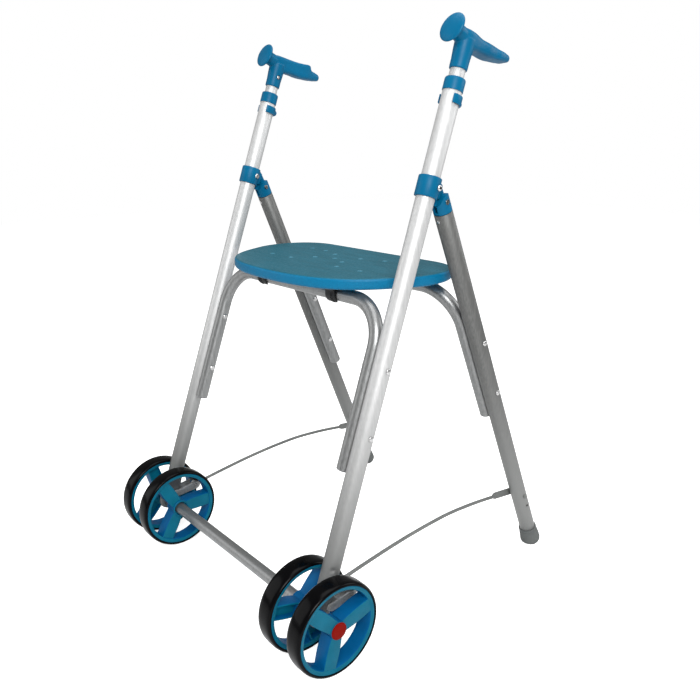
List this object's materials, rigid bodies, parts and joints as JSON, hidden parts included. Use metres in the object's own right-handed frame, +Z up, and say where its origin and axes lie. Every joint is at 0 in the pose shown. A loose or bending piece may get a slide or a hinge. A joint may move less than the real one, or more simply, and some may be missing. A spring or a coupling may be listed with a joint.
{
  "type": "walking frame",
  "caption": "Folding walking frame with a seat board, front legs on twin wheels with pressure brakes, rear legs on rubber feet and height-adjustable hand grips.",
  "frame": {"origin": "centre of the bounding box at floor level, between the wheels and the rear feet", "axes": "+Z up, +X towards the user's left side, -Y forward, the way the user walks"},
  "size_m": [0.5712, 0.6138, 0.9104],
  "materials": {
    "bright_aluminium": "satin anodised",
    "satin_aluminium": "satin anodised, greyer",
    "steel_fasteners": "bright zinc",
    "blue_plastic": "moulded, satin gloss",
    "seat_plastic": "moulded, fine grain",
    "black_plastic": "moulded, satin",
    "tyre": "glossy tread",
    "red_cap": "moulded gloss",
    "foot_rubber": "matt rubber",
    "cable_grey": "sheathed, satin",
    "bracket_metal": "pressed, zinc plated",
    "brake_rubber": "matt"
  },
  "bodies": {
    "front_frame": {"front_hoop": "bright_aluminium", "front_axle": "satin_aluminium", "front_leg_left": "bright_aluminium", "front_leg_right": "bright_aluminium", "hinge_collar_left": "blue_plastic", "hinge_collar_right": "blue_plastic", "collar_bolt_left": "steel_fasteners", "collar_bolt_right": "steel_fasteners", "top_bush_left": "blue_plastic", "top_bush_right": "blue_plastic", "height_clip_left": "blue_plastic", "height_clip_right": "blue_plastic", "front_rivet_1_left": "steel_fasteners", "front_rivet_1_right": "steel_fasteners", "front_rivet_2_left": "steel_fasteners", "front_rivet_2_right": "steel_fasteners"},
    "rear_frame": {"rear_hoop": "satin_aluminium", "rear_leg_left": "satin_aluminium", "rear_leg_right": "satin_aluminium", "hinge_plug_left": "blue_plastic", "hinge_plug_right": "blue_plastic", "pivot_bolt_left": "steel_fasteners", "pivot_bolt_right": "steel_fasteners", "rear_rivet_1_left": "steel_fasteners", "rear_rivet_1_right": "steel_fasteners", "rear_rivet_2_left": "steel_fasteners", "rear_rivet_2_right": "steel_fasteners", "rubber_foot_left": "foot_rubber", "rubber_foot_right": "foot_rubber"},
    "seat": {"seat_board": "seat_plastic", "seat_clip_left": "black_plastic", "seat_clip_right": "black_plastic", "seat_hook_left": "black_plastic", "seat_hook_right": "black_plastic"},
    "handle_left": {"handle_tube_left": "bright_aluminium", "hand_grip_left": "blue_plastic"},
    "button_left": {"height_button_left": "blue_plastic"},
    "brake_left": {"brake_lever_left": "bracket_metal", "brake_pad_left": "brake_rubber"},
    "wheel_inner_left": {"tyre_inner_left": "tyre", "rim_inner_left": "blue_plastic"},
    "wheel_outer_left": {"tyre_outer_left": "tyre", "rim_outer_left": "blue_plastic", "hub_cap_left": "red_cap"},
    "cable_rear_left": {"brake_strap_left": "cable_grey", "brake_cable_rear_left": "cable_grey"},
    "cable_front_left": {"brake_cable_front_left": "cable_grey"},
    "handle_right": {"handle_tube_right": "bright_aluminium", "hand_grip_right": "blue_plastic"},
    "button_right": {"height_button_right": "blue_plastic"},
    "brake_right": {"brake_lever_right": "bracket_metal", "brake_pad_right": "brake_rubber"},
    "wheel_inner_right": {"tyre_inner_right": "tyre", "rim_inner_right": "blue_plastic"},
    "wheel_outer_right": {"tyre_outer_right": "tyre", "rim_outer_right": "blue_plastic", "hub_cap_right": "red_cap"},
    "cable_rear_right": {"brake_strap_right": "cable_grey", "brake_cable_rear_right": "cable_grey"},
    "cable_front_right": {"brake_cable_front_right": "cable_grey"}
  },
  "joints": [
    {"name": "frame_fold", "type": "hinge", "parent": "front_frame", "child": "rear_frame", "pos_m": [0, 0.0087, 0.65952], "axis": [-1, 0, 0], "range_deg": [0, 38.5]},
    {"name": "seat_tilt", "type": "hinge", "parent": "front_frame", "child": "seat", "pos_m": [0, -0.07591, 0.5162], "axis": [1, 0, 0], "range_deg": [0, 70]},
    {"name": "handle_height_left", "type": "slide", "parent": "front_frame", "child": "handle_left", "axis": [-0.0151, 0.3333, 0.9427], "range_m": [0, 0.1]},
    {"name": "button_press_left", "type": "slide", "parent": "front_frame", "child": "button_left", "axis": [0, -0.9428, 0.3334], "range_m": [0, 0.0035], "stiffness_N_per_m": 600},
    {"name": "wheel_inner_spin_left", "type": "hinge", "parent": "front_frame", "child": "wheel_inner_left", "pos_m": [0.1995, -0.23192, 0.075], "axis": [1, 0, 0], "continuous": true},
    {"name": "wheel_outer_spin_left", "type": "hinge", "parent": "front_frame", "child": "wheel_outer_left", "pos_m": [0.27, -0.23192, 0.075], "axis": [1, 0, 0], "continuous": true},
    {"name": "brake_lever_left", "type": "hinge", "parent": "front_frame", "child": "brake_left", "pos_m": [0.2374, -0.21715, 0.08675], "axis": [-1, 0, 0], "range_deg": [0, 5], "stiffness_Nm_per_rad": 1},
    {"name": "cable_rear_swing_left", "type": "hinge", "parent": "rear_frame", "child": "cable_rear_left", "pos_m": [0.2183, 0.24358, 0.1154], "axis": [-1, 0, 0], "range_deg": [0, 54.1], "deforming": ["brake_cable_rear_left"]},
    {"name": "cable_crown_bend_left", "type": "hinge", "parent": "cable_rear_left", "child": "cable_front_left", "pos_m": [0.2183, 0.03059, 0.127], "axis": [1, 0, 0], "range_deg": [0, 162.1], "deforming": ["brake_cable_front_left"]},
    {"name": "handle_height_right", "type": "slide", "parent": "front_frame", "child": "handle_right", "axis": [0.0151, 0.3333, 0.9427], "range_m": [0, 0.1]},
    {"name": "button_press_right", "type": "slide", "parent": "front_frame", "child": "button_right", "axis": [0, -0.9428, 0.3334], "range_m": [0, 0.0035], "stiffness_N_per_m": 600},
    {"name": "wheel_inner_spin_right", "type": "hinge", "parent": "front_frame", "child": "wheel_inner_right", "pos_m": [-0.1995, -0.23192, 0.075], "axis": [1, 0, 0], "continuous": true},
    {"name": "wheel_outer_spin_right", "type": "hinge", "parent": "front_frame", "child": "wheel_outer_right", "pos_m": [-0.27, -0.23192, 0.075], "axis": [1, 0, 0], "continuous": true},
    {"name": "brake_lever_right", "type": "hinge", "parent": "front_frame", "child": "brake_right", "pos_m": [-0.2374, -0.21715, 0.08675], "axis": [-1, 0, 0], "range_deg": [0, 5], "stiffness_Nm_per_rad": 1},
    {"name": "cable_rear_swing_right", "type": "hinge", "parent": "rear_frame", "child": "cable_rear_right", "pos_m": [-0.2183, 0.24358, 0.1154], "axis": [-1, 0, 0], "range_deg": [0, 54.1], "deforming": ["brake_cable_rear_right"]},
    {"name": "cable_crown_bend_right", "type": "hinge", "parent": "cable_rear_right", "child": "cable_front_right", "pos_m": [-0.2183, 0.03059, 0.127], "axis": [1, 0, 0], "range_deg": [0, 162.1], "deforming": ["brake_cable_front_right"]}
  ],
  "couplings": [
    {"joint": "cable_rear_swing_left", "follows": "frame_fold", "ratio": 1.404},
    {"joint": "cable_crown_bend_left", "follows": "frame_fold", "ratio": 4.2074},
    {"joint": "cable_rear_swing_right", "follows": "frame_fold", "ratio": 1.404},
    {"joint": "cable_crown_bend_right", "follows": "frame_fold", "ratio": 4.2074}
  ]
}
